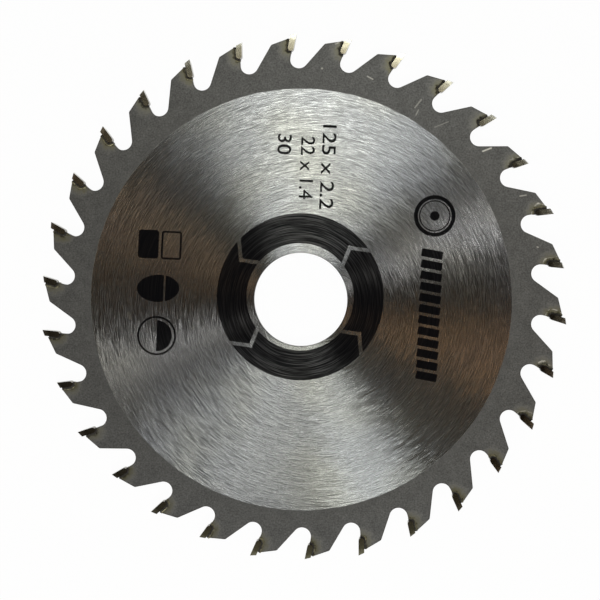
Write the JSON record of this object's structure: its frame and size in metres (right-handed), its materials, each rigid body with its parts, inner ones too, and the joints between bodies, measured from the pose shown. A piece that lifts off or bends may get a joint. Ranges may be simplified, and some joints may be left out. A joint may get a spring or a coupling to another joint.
{
  "type": "circular saw blade",
  "caption": "Flat steel disc with a round arbor bore, hooked teeth and open gullets round its rim, and a brazed carbide tip on each tooth, for cutting wood.",
  "frame": {"origin": "on the axis of the arbor bore, at the middle of the plate's thickness", "axes": "+Z along the bore's axis, out of the face that carries the print; the blade turns clockwise seen from +Z; +Y through the cutting edge of tip_01"},
  "size_m": [0.1244, 0.125, 0.0022],
  "materials": {
    "plate_steel": "brushed round the centre inside 100 mm diameter, matt blasted rim outside it",
    "carbide": "ground tungsten carbide with braze-stained sides"
  },
  "bodies": {
    "root": {"blade_plate": "plate_steel", "tip_01": "carbide", "tip_02": "carbide", "tip_03": "carbide", "tip_04": "carbide", "tip_05": "carbide", "tip_06": "carbide", "tip_07": "carbide", "tip_08": "carbide", "tip_09": "carbide", "tip_10": "carbide", "tip_11": "carbide", "tip_12": "carbide", "tip_13": "carbide", "tip_14": "carbide", "tip_15": "carbide", "tip_16": "carbide", "tip_17": "carbide", "tip_18": "carbide", "tip_19": "carbide", "tip_20": "carbide", "tip_21": "carbide", "tip_22": "carbide", "tip_23": "carbide", "tip_24": "carbide", "tip_25": "carbide", "tip_26": "carbide", "tip_27": "carbide", "tip_28": "carbide", "tip_29": "carbide", "tip_30": "carbide"}
  },
  "joints": []
}
